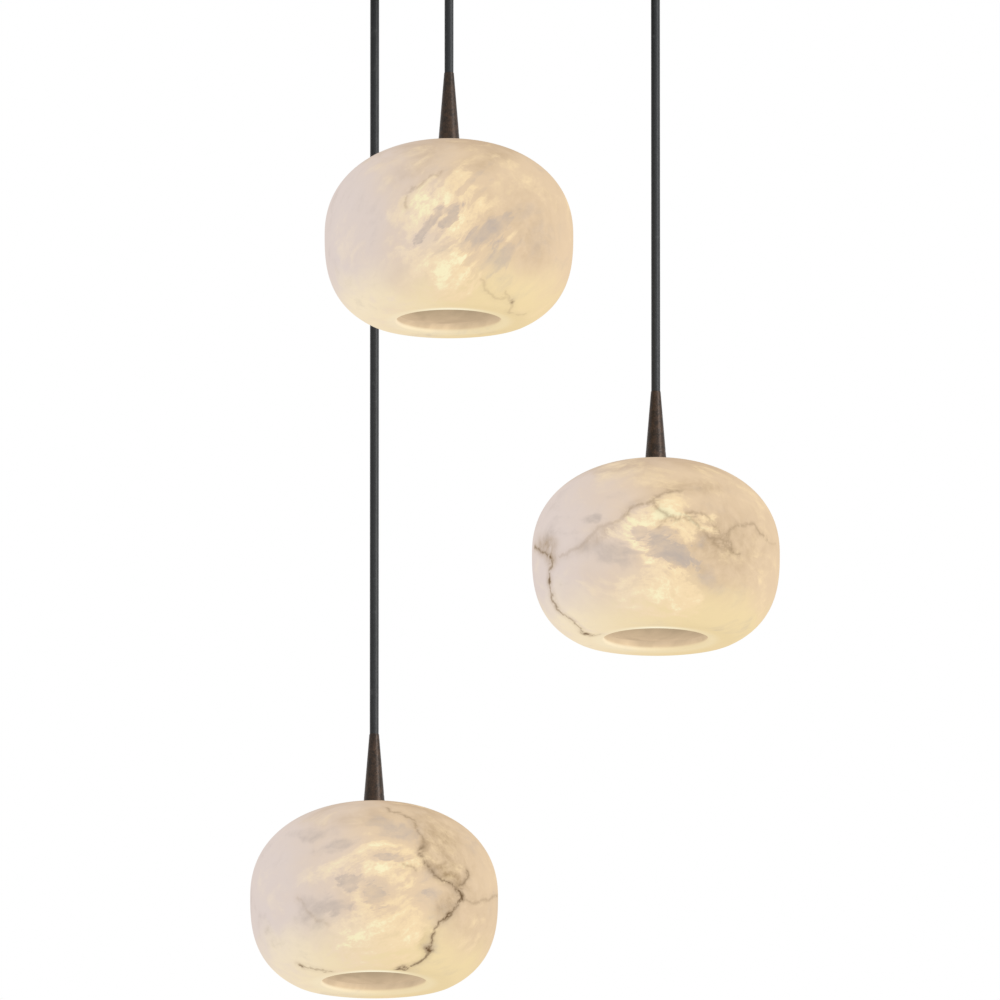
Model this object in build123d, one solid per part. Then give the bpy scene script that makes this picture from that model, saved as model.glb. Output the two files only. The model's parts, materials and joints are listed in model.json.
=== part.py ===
from build123d import *
import math
import os

# Cluster pendant lamp: three turned alabaster shades, each on its own cord, under one ceiling canopy.
# Millimetres. The origin is the middle of the ceiling face of the mounting plate, +Z is up,
# and -Y is the side that faces a viewer in front of the lamp.

# Canopy and ceiling plate
cord_circle_radius = 122.4
first_cord_angle = 14.9
canopy_margin = 30.0
canopy_height = 34.0
canopy_wall = 1.5
canopy_edge_radius = 5.0
ceiling_gap = 1.0
plate_thickness = 2.0
flange_depth = 15.0
flange_clearance = 0.4
anchor_circle_diameter = 180.0
anchor_hole_diameter = 5.5
anchor_count = 4
anchor_angle = 30.0
supply_hole_diameter = 24.0

# Screws through the canopy's rim
rim_screw_diameter = 4.0
rim_screw_head_diameter = 8.0
rim_screw_head_height = 3.0
rim_screw_tail = 3.0
rim_screw_level = 8.0
rim_screw_count = 3
rim_screw_angle = 75.0

# Terminal rose under the ceiling plate
rose_ring_width = 15.0
rose_height = 15.0
rose_hole_margin = 1.0
rose_notch_wall = 9.0
rose_notch_margin = 2.0
terminal_screw_diameter = 4.4
terminal_screw_height = 2.0
terminal_screw_spread = 24.0
rose_screw_diameter = 3.5
rose_screw_head_diameter = 6.5
rose_screw_head_height = 2.2

# Cord and the height of each lamp, from the canopy's underside to the tip of its cone
cord_diameter = 6.5
drop_high = 129.2
drop_mid = 332.2
drop_low = 575.2
swing_limit = 12.0
cord_end_gap = 0.3
cord_end_crown = 7.5

# Gland in the canopy's floor
gland_thread_diameter = 12.0
gland_flange_diameter = 24.0
gland_flange_height = 3.0
gland_mouth_length = 10.0
gland_lip = 2.0
gland_lip_radius = 0.8
gland_pivot_depth = 2.0
gland_bend_length = 6.0
gland_nut_flats = 17.0
gland_nut_height = 4.0
gland_thread_tail = 1.5

# Tapered cone
cone_length = 52.2
cone_base_diameter = 15.7
cone_tip_wall = 0.2
cone_socket_depth = 14.0
cone_grip_length = 30.0
cone_screw_diameter = 3.0
cone_screw_height = 7.6
cone_screw_recess = 0.35
cone_screw_key = 1.5
cone_screw_key_depth = 1.0

# Alabaster shade: two superellipse halves that meet at the widest level, cut flat at the bottom
shade_diameter = 180.0
crown_height = 67.5
crown_swell = 0.4
crown_exponent = 2.22
belly_depth = 64.1
belly_swell = 8.2
belly_exponent = 2.72
shade_wall = 8.0
crown_wall = 9.0
floor_wall = 7.0
mouth_diameter = 76.0
mouth_lip_radius = 1.5
foot_radius = 13.0
outline_points = 14

# Clamp stack through the crown of the shade
nipple_diameter = 9.9
nipple_bore = 7.6
nipple_tail = 1.5
crown_hole_margin = 0.6
crown_gasket_thickness = 0.8
crown_gasket_inset = 0.6
inner_gasket_diameter = 30.0
inner_gasket_thickness = 1.5
clamp_washer_diameter = 28.0
clamp_washer_thickness = 1.5
clamp_nut_flats = 14.0
clamp_nut_height = 4.0

# Lampholder and its bracket
bracket_thickness = 1.0
bracket_width = 14.0
bracket_leg_overlap = 12.0
bracket_dowel_diameter = 3.0
bracket_dowel_length = 1.5
holder_diameter = 25.0
holder_flats = 23.0
holder_height = 20.0
holder_edge_radius = 1.0
lead_space = 5.0
lead_diameter = 2.2
lead_spacing = 3.4

# Plug-in lamp with two flat pins
pin_spacing = 9.0
pin_width = 3.2
pin_thickness = 1.2
pin_length = 16.0
bulb_base_diameter = 16.5
bulb_base_height = 10.0
bulb_base_edge_radius = 0.8
bulb_spigot_height = 3.0
envelope_diameter = 15.6
envelope_length = 38.0
envelope_wall = 1.0

# Clearances
slide_clearance = 0.1
thread_clearance = 0.05
hole_clearance = 0.2
seat_clearance = 0.3
bend_clearance = 0.25
pin_clearance = 0.4

# Sizes that follow from the ones above
cord_radius = cord_diameter / 2
canopy_radius = cord_circle_radius + canopy_margin
canopy_floor = -canopy_height + canopy_wall
plate_radius = canopy_radius - canopy_wall - flange_clearance
rose_bore_radius = supply_hole_diameter / 2 + rose_hole_margin
rose_radius = rose_bore_radius + rose_ring_width
rose_notch_radius = rose_bore_radius + rose_notch_wall
rose_bottom = -plate_thickness - rose_height
terminal_circle = rose_bore_radius + rose_ring_width / 2
tail_level = -plate_thickness - rose_height / 2

gland_top = canopy_floor + gland_nut_height + gland_thread_tail
gland_foot = -canopy_height - gland_flange_height - gland_mouth_length
first_pivot = -canopy_height - gland_pivot_depth
second_pivot = first_pivot - gland_bend_length

cone_tip_radius = cord_radius + slide_clearance + cone_tip_wall
cone_base_radius = cone_base_diameter / 2
cone_foot = crown_gasket_thickness
cone_tip = cone_foot + cone_length

shade_radius = shade_diameter / 2
mouth_radius = mouth_diameter / 2
nipple_radius = nipple_diameter / 2
crown_hole_radius = nipple_radius + crown_hole_margin

inner_gasket_top = -crown_wall
clamp_washer_top = inner_gasket_top - inner_gasket_thickness
bracket_top = clamp_washer_top - clamp_washer_thickness
clamp_nut_top = bracket_top - bracket_thickness
nipple_foot = clamp_nut_top - clamp_nut_height - nipple_tail
nipple_top = cone_foot + cone_socket_depth - seat_clearance
holder_top = nipple_foot - lead_space
holder_foot = holder_top - holder_height
bulb_top = holder_foot - seat_clearance

lamp_drops = {"mid": drop_mid, "low": drop_low, "high": drop_high}
cord_spacing = 360.0 / len(lamp_drops)
lamp_angles = {name: first_cord_angle + cord_spacing * step for step, name in enumerate(lamp_drops)}


def ring(outer_radius, inner_radius, low, high):
    """Flat ring or tube about Z, from one level up to another."""
    section = Circle(outer_radius) - Circle(inner_radius)
    return Pos(0, 0, low) * extrude(section, high - low)


def rod(radius, low, high):
    """Round rod along Z, from one level up to another."""
    return Pos(0, 0, low) * extrude(Circle(radius), high - low)


def turned(*outline):
    """Solid turned about Z from a closed outline of (radius, level) points."""
    return revolve(make_face(Plane.XZ * Polyline(*outline, close=True)), Axis.Z)


def hex_nut(flats, hole_radius, low, high):
    """Six-sided nut about Z."""
    section = RegularPolygon(flats / 2, 6, major_radius=False) - Circle(hole_radius)
    return Pos(0, 0, low) * extrude(section, high - low)


def edges_at(solid, level):
    """Round edges of a turned solid that lie at one level, smallest first."""
    circles = solid.edges().filter_by(GeomType.CIRCLE)
    return circles.filter_by_position(Axis.Z, level - 0.01, level + 0.01).sort_by(SortBy.RADIUS)


def cord_place(name):
    """Point on the ceiling plane above one lamp's cord."""
    angle = math.radians(lamp_angles[name])
    return cord_circle_radius * math.cos(angle), cord_circle_radius * math.sin(angle)


def at_cord(name):
    """Frame on the cord's axis, level with the ceiling."""
    across, depth = cord_place(name)
    return Pos(across, depth, 0)


def at_lamp(name):
    """Frame on the cord's axis, level with the crown of the shade."""
    across, depth = cord_place(name)
    return Pos(across, depth, -canopy_height - lamp_drops[name] - cone_tip)


def around(count, first_angle):
    """Frames turned evenly about Z."""
    return [Rot(0, 0, first_angle + 360.0 * step / count) for step in range(count)]


# Ceiling end

def ceiling_plate():
    """Pan whose turned-down rim carries the canopy, with anchor, supply and screw holes."""
    pan = rod(plate_radius, -flange_depth, 0)
    pan -= rod(plate_radius - canopy_wall, -flange_depth, -plate_thickness)
    pan -= rod(supply_hole_diameter / 2, -plate_thickness, 0)
    anchor = Pos(anchor_circle_diameter / 2, 0, 0) * rod(anchor_hole_diameter / 2, -plate_thickness, 0)
    for turn in around(anchor_count, anchor_angle):
        pan -= turn * anchor
    screw_radius = rim_screw_diameter / 2 + thread_clearance
    screw_hole = rim_rod(screw_radius, plate_radius - 2 * canopy_wall, plate_radius)
    for turn in around(rim_screw_count, rim_screw_angle):
        pan -= turn * screw_hole
    for place in rose_screw_places():
        pan -= place * rod(rose_screw_diameter / 2 + thread_clearance, -plate_thickness, 0)
    return pan


def rim_rod(radius, start, end):
    """Round rod that points out along X at the level of the rim screws."""
    return Pos(start, 0, -rim_screw_level) * Rot(0, 90, 0) * rod(radius, 0, end - start)


def canopy_shell():
    """Spun cover, open to the ceiling, with a rounded lower edge and three gland holes."""
    outside = rod(canopy_radius, -canopy_height, -ceiling_gap)
    outside = fillet(edges_at(outside, -canopy_height), canopy_edge_radius)
    inside = rod(canopy_radius - canopy_wall, canopy_floor, -ceiling_gap)
    inside = fillet(edges_at(inside, canopy_floor), canopy_edge_radius - canopy_wall)
    shell = outside - inside
    gland_hole = rod(gland_thread_diameter / 2 + hole_clearance, -canopy_height, canopy_floor)
    for name in lamp_drops:
        shell -= at_cord(name) * gland_hole
    screw_radius = rim_screw_diameter / 2 + hole_clearance
    screw_hole = rim_rod(screw_radius, canopy_radius - 2 * canopy_wall, canopy_radius)
    for turn in around(rim_screw_count, rim_screw_angle):
        shell -= turn * screw_hole
    return shell


def canopy_screws():
    """Round-headed screws through the cover into the plate's rim."""
    shank = rim_rod(rim_screw_diameter / 2, plate_radius - rim_screw_tail, canopy_radius)
    head = rim_rod(rim_screw_head_diameter / 2, canopy_radius, canopy_radius + rim_screw_head_height)
    outer_edge = head.edges().filter_by(GeomType.CIRCLE).sort_by(Axis.X)[-1]
    screw = shank + fillet(outer_edge, rim_screw_head_height / 2)
    return Compound(children=[turn * screw for turn in around(rim_screw_count, rim_screw_angle)])


def gland_bore(depth):
    """Radius the gland needs below its first pivot so that the swinging cord stays clear."""
    swing = math.radians(swing_limit)
    below_second = max(depth - gland_bend_length, 0)
    tilted_cord = (cord_radius + bend_clearance) / math.cos(swing)
    return tilted_cord + math.tan(swing) * math.hypot(depth, below_second)


def gland():
    """Turned bush: threaded shank, flange under the canopy and a flared mouth for the cord."""
    throat = cord_radius + slide_clearance
    shank = gland_thread_diameter / 2
    flange = gland_flange_diameter / 2
    mouth = gland_bore(first_pivot - gland_foot)
    flange_foot = -canopy_height - gland_flange_height
    bush = turned(
        (throat, gland_top),
        (shank, gland_top),
        (shank, -canopy_height),
        (flange, -canopy_height),
        (flange, flange_foot),
        (mouth + gland_lip, gland_foot),
        (mouth, gland_foot),
        (gland_bore(0), first_pivot),
        (throat, first_pivot),
    )
    return fillet(edges_at(bush, gland_foot), gland_lip_radius)


def gland_nuts():
    """Lock nuts that hold the glands from inside the canopy."""
    hole = gland_thread_diameter / 2 + thread_clearance
    nut = hex_nut(gland_nut_flats, hole, canopy_floor, canopy_floor + gland_nut_height)
    return Compound(children=[at_cord(name) * nut for name in lamp_drops])


def rose_screw_places():
    """Places of the screws that hold the rose, each midway between two cord notches."""
    first = first_cord_angle + cord_spacing / 2
    return [turn * Pos(terminal_circle, 0, 0) for turn in around(len(lamp_drops), first)]


def terminal_rose():
    """Round terminal base with an open middle for the supply and a notch for each cord end."""
    rose = ring(rose_radius, rose_bore_radius, rose_bottom, -plate_thickness)
    notch_width = cord_diameter + 2 * rose_notch_margin
    notch_length = rose_radius - rose_notch_radius + rose_notch_margin
    notch_middle = rose_notch_radius + notch_length / 2
    notch = Pos(notch_middle, 0, tail_level) * Box(notch_length, notch_width, rose_height)
    for name in lamp_drops:
        rose -= Rot(0, 0, lamp_angles[name]) * notch
    for place in rose_screw_places():
        rose -= place * rod(rose_screw_diameter / 2 + hole_clearance, rose_bottom, -plate_thickness)
    return rose


def terminal_screws():
    """Two slotted clamping screws beside each cord end."""
    radius = terminal_screw_diameter / 2
    head = rod(radius, rose_bottom - terminal_screw_height, rose_bottom)
    slot = Pos(0, 0, rose_bottom - terminal_screw_height) * Box(2 * radius, radius / 2, terminal_screw_height)
    screw = Pos(terminal_circle, 0, 0) * (head - slot)
    spread = (terminal_screw_spread, -terminal_screw_spread)
    angles = [lamp_angles[name] + side for name in lamp_drops for side in spread]
    return Compound(children=[Rot(0, 0, angle) * screw for angle in angles])


def rose_screws():
    """Pan-head screws up through the rose into the ceiling plate."""
    shank = rod(rose_screw_diameter / 2, rose_bottom, 0)
    head = rod(rose_screw_head_diameter / 2, rose_bottom - rose_screw_head_height, rose_bottom)
    head = fillet(edges_at(head, rose_bottom - rose_screw_head_height), rose_screw_head_height / 2)
    return Compound(children=[place * (shank + head) for place in rose_screw_places()])


def cord_tail(name):
    """Cord end inside the canopy: up out of the gland, over in one bend and level to the rose."""
    start = (cord_circle_radius, first_pivot + cord_end_gap)
    corner = (cord_circle_radius, tail_level)
    end = (rose_notch_radius, tail_level)
    route = Plane.XZ * FilletPolyline(start, corner, end, radius=tail_level - gland_top)
    tail = sweep(Plane(origin=route @ 0, z_dir=route % 0) * Circle(cord_radius), route)
    return Rot(0, 0, lamp_angles[name]) * tail


# Cord

def cord_stretch(top, foot):
    """Straight cord with a slightly crowned top end, so that it can tilt under the stretch above it."""
    edge_angle = math.acos(cord_radius / cord_end_crown)
    shoulder = top - cord_end_crown * (1 - math.sin(edge_angle))
    start = math.degrees(edge_angle)
    outline = Curve([
        Line((0, foot), (cord_radius, foot)),
        Line((cord_radius, foot), (cord_radius, shoulder)),
        CenterArc((0, top - cord_end_crown), cord_end_crown, start, 90 - start),
        Line((0, top), (0, foot)),
    ])
    return revolve(make_face(Plane.XZ * outline), Axis.Z)


def cord_bend():
    """Short stretch in the gland's mouth, between the two places where the cord bends."""
    return cord_stretch(first_pivot, second_pivot + cord_end_gap)


def cord(name):
    """Free cord, down into the cone."""
    foot = -canopy_height - lamp_drops[name] - cone_grip_length
    return cord_stretch(second_pivot, foot)


# Lamp, measured from the crown of its shade

def cone_radius(level):
    """Outer radius of the cone at one level."""
    share = (level - cone_foot) / cone_length
    return cone_base_radius + (cone_tip_radius - cone_base_radius) * share


def cone():
    """Tapered cap, bored for the cord from above and for the nipple from below."""
    socket = nipple_radius + thread_clearance
    bore = cord_radius + slide_clearance
    socket_top = cone_foot + cone_socket_depth
    grip_foot = cone_tip - cone_grip_length - seat_clearance
    cap = turned(
        (socket, cone_foot),
        (cone_base_radius, cone_foot),
        (cone_tip_radius, cone_tip),
        (bore, cone_tip),
        (bore, grip_foot),
        (nipple_bore / 2, socket_top),
        (socket, socket_top),
    )
    return cap - cone_screw_rod(cone_screw_diameter / 2 + thread_clearance, nipple_radius, cone_base_radius)


def cone_screw_rod(radius, start, end):
    """Round rod that points out along X at the level of the set screw."""
    return Pos(start, 0, cone_foot + cone_screw_height) * Rot(0, 90, 0) * rod(radius, 0, end - start)


def cone_screw():
    """Headless screw, just below the cone's surface, with a hexagon key socket."""
    level = cone_foot + cone_screw_height
    end = cone_radius(level) - cone_screw_recess
    screw = cone_screw_rod(cone_screw_diameter / 2, nipple_radius + thread_clearance, end)
    key = extrude(RegularPolygon(cone_screw_key / 2, 6, major_radius=False), cone_screw_key_depth)
    return screw - Pos(end - cone_screw_key_depth, 0, level) * Rot(0, 90, 0) * key


def crown_gasket():
    """Thin gasket between the cone and the stone."""
    return ring(cone_base_radius - crown_gasket_inset, crown_hole_radius, 0, crown_gasket_thickness)


def superellipse(radius, height, exponent, first, last):
    """Points of a quarter superellipse, from one parameter angle to another, as (radius, level)."""
    points = []
    for step in range(outline_points + 1):
        angle = first + (last - first) * step / outline_points
        across = radius * math.cos(angle) ** (2 / exponent)
        up = height * math.sin(angle) ** (2 / exponent)
        points.append((across, up))
    return points


def level_angle(share, exponent):
    """Parameter angle at which the superellipse stands at this share of its height."""
    return math.asin(share ** (exponent / 2))


def radius_angle(share, exponent):
    """Parameter angle at which the superellipse stands at this share of its radius."""
    return math.acos(share ** (exponent / 2))


def turned_hollow(upper, lower):
    """Solid under a smooth turned outline that runs down the upper half and then the lower one."""
    below = [(radius, -level) for radius, level in lower[1:]]
    points = [(radius, level - crown_height) for radius, level in upper + below]
    top, foot = points[0], points[-1]
    edges = [
        Line((0, top[1]), top),
        Spline(*points),
        Line(foot, (0, foot[1])),
        Line((0, foot[1]), (0, top[1])),
    ]
    return revolve(make_face(Plane.XZ * Curve(edges)), Axis.Z)


def shade_outside():
    """Outer form of the shade, flat on the crown and at the foot."""
    crown = crown_height + crown_swell
    belly = belly_depth + belly_swell
    crown_start = level_angle(crown_height / crown, crown_exponent)
    belly_end = level_angle(belly_depth / belly, belly_exponent)
    return turned_hollow(
        superellipse(shade_radius, crown, crown_exponent, crown_start, 0),
        superellipse(shade_radius, belly, belly_exponent, 0, belly_end),
    )


def shade_cavity():
    """Hollow of the shade, down to the upper edge of the mouth."""
    radius = shade_radius - shade_wall
    crown = crown_height + crown_swell - crown_wall
    crown_start = level_angle((crown_height - crown_wall) / crown, crown_exponent)
    belly_end = radius_angle(mouth_radius / radius, belly_exponent)
    belly = (belly_depth - floor_wall) / math.sin(belly_end) ** (2 / belly_exponent)
    return turned_hollow(
        superellipse(radius, crown, crown_exponent, crown_start, 0),
        superellipse(radius, belly, belly_exponent, 0, belly_end),
    )


def shade():
    """Turned alabaster shade with a bored crown and an open mouth."""
    foot = -crown_height - belly_depth
    seat_radius = inner_gasket_diameter / 2 + seat_clearance
    stone = shade_outside() - shade_cavity()
    stone -= rod(mouth_radius, foot, -crown_height)
    stone -= rod(seat_radius, -crown_height, -crown_wall)
    stone -= rod(crown_hole_radius, -crown_height, 0)
    stone = fillet(edges_at(stone, foot)[-1:], foot_radius)
    return fillet(edges_at(stone, foot)[:1], mouth_lip_radius)


def nipple():
    """Hollow threaded tube from the cone down to the clamp nut."""
    return ring(nipple_radius, nipple_bore / 2, nipple_foot, nipple_top)


def inner_gasket():
    """Soft washer under the crown of the shade."""
    return ring(inner_gasket_diameter / 2, crown_hole_radius, clamp_washer_top, inner_gasket_top)


def clamp_washer():
    """Steel washer that spreads the load over the stone."""
    return ring(clamp_washer_diameter / 2, nipple_radius + hole_clearance, bracket_top, clamp_washer_top)


def clamp_nut():
    """Nut that carries the shade on the nipple."""
    hole = nipple_radius + thread_clearance
    return hex_nut(clamp_nut_flats, hole, clamp_nut_top - clamp_nut_height, clamp_nut_top)


def bracket_dowel(radius, length):
    """Pair of round dowels that point in from the bracket's legs at mid-overlap."""
    level = holder_top - bracket_leg_overlap / 2
    dowel = Pos(holder_flats / 2 - length, 0, level) * Rot(0, 90, 0) * rod(radius, 0, length)
    return [dowel, Rot(0, 0, 180) * dowel]


def holder_bracket():
    """Bent strip, clamped under the washer, whose legs hold the lampholder."""
    half_span = holder_flats / 2 + bracket_thickness
    leg_foot = holder_top - bracket_leg_overlap
    height = bracket_top - leg_foot
    outside = Pos(0, 0, leg_foot + height / 2) * Box(2 * half_span, bracket_width, height)
    gap_height = height - bracket_thickness
    gap = Pos(0, 0, leg_foot + gap_height / 2) * Box(holder_flats, bracket_width, gap_height)
    strip = outside - gap - rod(nipple_radius + hole_clearance, clamp_nut_top, bracket_top)
    for dowel in bracket_dowel(bracket_dowel_diameter / 2, bracket_dowel_length):
        strip += dowel
    return strip


def lampholder():
    """Ceramic body with flats for the bracket, slots for two pins and holes for the leads."""
    body = rod(holder_diameter / 2, holder_foot, holder_top)
    body = fillet(edges_at(body, holder_foot) + edges_at(body, holder_top), holder_edge_radius)
    body &= Pos(0, 0, holder_foot + holder_height / 2) * Box(holder_flats, holder_diameter, holder_height)
    dowel_radius = bracket_dowel_diameter / 2 + slide_clearance
    for dowel in bracket_dowel(dowel_radius, bracket_dowel_length + slide_clearance):
        body -= dowel
    slot_depth = pin_length + pin_clearance - seat_clearance
    slot = Box(pin_thickness + 2 * pin_clearance, pin_width + 2 * pin_clearance, slot_depth)
    for side in (-1, 1):
        body -= Pos(side * pin_spacing / 2, 0, holder_foot + slot_depth / 2) * slot
    return body


def lamp_leads():
    """Two insulated wires from the cord's end to the top of the lampholder."""
    top = cone_tip - cone_grip_length
    lead = rod(lead_diameter / 2, holder_top, top)
    return Compound(children=[Pos(0, side * lead_spacing / 2, 0) * lead for side in (-1, 1)])


# Plug-in lamp

def bulb_base():
    """Moulded base with two flat pins above and a spigot for the envelope below."""
    foot = bulb_top - bulb_base_height
    base = rod(bulb_base_diameter / 2, foot, bulb_top)
    base = fillet(edges_at(base, foot) + edges_at(base, bulb_top), bulb_base_edge_radius)
    spigot_radius = envelope_diameter / 2 - envelope_wall - slide_clearance
    base += rod(spigot_radius, foot - bulb_spigot_height, foot)
    for side in (-1, 1):
        pin = Box(pin_thickness, pin_width, pin_length)
        base += Pos(side * pin_spacing / 2, 0, bulb_top + pin_length / 2) * pin
    return base


def bulb_envelope():
    """Thin-walled tube with a round end, open where it sits on the base."""
    radius = envelope_diameter / 2
    top = bulb_top - bulb_base_height
    end = top - envelope_length + radius
    outside = rod(radius, end, top) + Pos(0, 0, end) * Sphere(radius)
    inside = rod(radius - envelope_wall, end, top) + Pos(0, 0, end) * Sphere(radius - envelope_wall)
    return outside - inside


def build():
    """Every piece by its node name, in its place."""
    pieces = {
        "ceiling_plate": ceiling_plate(),
        "canopy_shell": canopy_shell(),
        "canopy_screws": canopy_screws(),
        "gland_nuts": gland_nuts(),
        "terminal_rose": terminal_rose(),
        "terminal_screws": terminal_screws(),
        "rose_screws": rose_screws(),
    }
    lamp_pieces = {
        "cone": cone(),
        "cone_screw": cone_screw(),
        "crown_gasket": crown_gasket(),
        "shade": shade(),
        "nipple": nipple(),
        "inner_gasket": inner_gasket(),
        "clamp_washer": clamp_washer(),
        "clamp_nut": clamp_nut(),
        "holder_bracket": holder_bracket(),
        "lampholder": lampholder(),
        "lamp_leads": lamp_leads(),
        "bulb_base": bulb_base(),
        "bulb_envelope": bulb_envelope(),
    }
    for name in lamp_drops:
        pieces[f"cord_tail_{name}"] = cord_tail(name)
        pieces[f"gland_{name}"] = at_cord(name) * gland()
        pieces[f"cord_bend_{name}"] = at_cord(name) * cord_bend()
        pieces[f"cord_{name}"] = at_cord(name) * cord(name)
        for piece, solid in lamp_pieces.items():
            pieces[f"{piece}_{name}"] = at_lamp(name) * solid
    return pieces


os.makedirs("parts", exist_ok=True)
for node, solid in build().items():
    export_step(solid, f"parts/{node}.step")
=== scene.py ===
import json
import math

import bpy
import numpy as np
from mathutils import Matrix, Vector
from mathutils.bvhtree import BVHTree


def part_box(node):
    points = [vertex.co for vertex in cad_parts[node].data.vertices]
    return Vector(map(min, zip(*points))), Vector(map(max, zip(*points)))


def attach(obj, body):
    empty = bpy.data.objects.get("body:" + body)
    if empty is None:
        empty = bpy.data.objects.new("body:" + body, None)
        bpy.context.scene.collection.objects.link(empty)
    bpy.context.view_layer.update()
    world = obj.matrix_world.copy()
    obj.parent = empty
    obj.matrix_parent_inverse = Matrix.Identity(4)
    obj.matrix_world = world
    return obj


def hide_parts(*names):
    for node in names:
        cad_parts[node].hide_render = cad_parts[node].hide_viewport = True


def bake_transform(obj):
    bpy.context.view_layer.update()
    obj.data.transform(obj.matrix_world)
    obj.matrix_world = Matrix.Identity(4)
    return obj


# Looks of the cluster pendant lamp, in metres, in the frame of the construction model.
# The camera stands in front of the lamp and a little below it, far away behind a long lens.

LAMPS = ("high", "mid", "low")
MM_PER_METRE = 1000.0
SHARP_EDGE = math.radians(50)

# Camera: the photograph is 1000 pixels wide and about this many metres at the lamp
PHOTO_PIXELS = 1000.0
PHOTO_WIDTH = 0.7258
CAMERA_TARGET = Vector((0.00506, 0.0, -0.4538))
CAMERA_DISTANCE = 30.0
CAMERA_BELOW = math.radians(12.5)
SENSOR_WIDTH = 36.0

# Stage and light
FLOOR_RADIUS = 3.0
FLOOR_LEVEL = -1.65
FLOOR_SIDES = 64
AMBIENT_LIGHT = 0.55
KEY_PLACE = (3.45, -2.25, -0.2)
KEY_WIDTH = 0.9
KEY_HEIGHT = 2.4
KEY_POWER = 170.0

# Cord: its top is rounded by rings from this angle in degrees to the full width
CORD_DIAMETER = 0.0065
CORD_SIDES = 32
CORD_STEPS = 64
CORD_LEAD = 6 * CORD_DIAMETER
CORD_CAP_START = 15.0
CORD_CAP_RINGS = 8

# Shade form, beside what its node's box says
CROWN_HEIGHT = 0.0675
CROWN_SWELL = 0.0004
CROWN_EXPONENT = 2.22
BELLY_SWELL = 0.0082
BELLY_EXPONENT = 2.72
SHADE_WALL = 0.008
CROWN_WALL = 0.009
FLOOR_WALL = 0.007
CROWN_HOLE_RADIUS = 0.00555
SEAT_RADIUS = 0.0153
MOUTH_RADIUS = 0.038
LIP_RADIUS = 0.0015
FOOT_RADIUS = 0.013
SHADE_SIDES = 288
OUTSIDE_STEP = 0.002
INSIDE_STEP = 0.004
LIP_STEP = 0.0005

# Painted highlight on the lip of the mouth: its width, how fast it fades outwards, its least strength
# all round, and how closely the brightest part keeps to the camera's side
LIP_HIGHLIGHT_WIDTH = 0.010
LIP_HIGHLIGHT_FADE = 1.6
LIP_HIGHLIGHT_LEAST = 0.2
LIP_HIGHLIGHT_FOCUS = 8

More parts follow.
